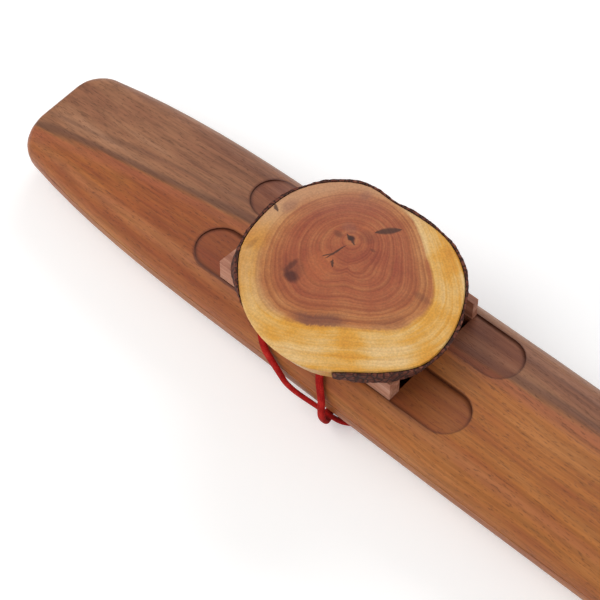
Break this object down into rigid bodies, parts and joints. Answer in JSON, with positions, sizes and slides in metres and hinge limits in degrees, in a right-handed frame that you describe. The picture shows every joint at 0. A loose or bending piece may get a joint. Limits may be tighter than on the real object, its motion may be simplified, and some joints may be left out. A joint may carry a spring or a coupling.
{
  "type": "double flute",
  "caption": "Two-bore wooden duct flute with one wide block over both sound holes, a slice of branch on the block and a flat lace that ties it down.",
  "frame": {"origin": "middle of the body's flat underside, halfway along its length", "axes": "+X from the mouth end to the foot end, +Y to the drone bore's side, +Z out of the upper face, away from the flat underside"},
  "size_m": [0.52, 0.0781, 0.0477],
  "materials": {
    "body_top_half": "oiled, satin",
    "body_bottom_half": "oiled, satin",
    "bird_block": "sanded, bare",
    "slice_wood": "varnished",
    "slice_bark": "rough bark",
    "lace": "suede",
    "lace_knot": "suede"
  },
  "bodies": {
    "flute": {"body_top_half": "body_top_half", "body_bottom_half": "body_bottom_half"},
    "bird": {"bird_block": "bird_block", "slice_wood": "slice_wood", "slice_bark": "slice_bark", "lace": "lace", "lace_knot": "lace_knot"}
  },
  "joints": [
    {"name": "bird_slide", "type": "slide", "parent": "flute", "child": "bird", "axis": [1, 0, 0], "range_m": [-0.0095, 0.018]}
  ]
}
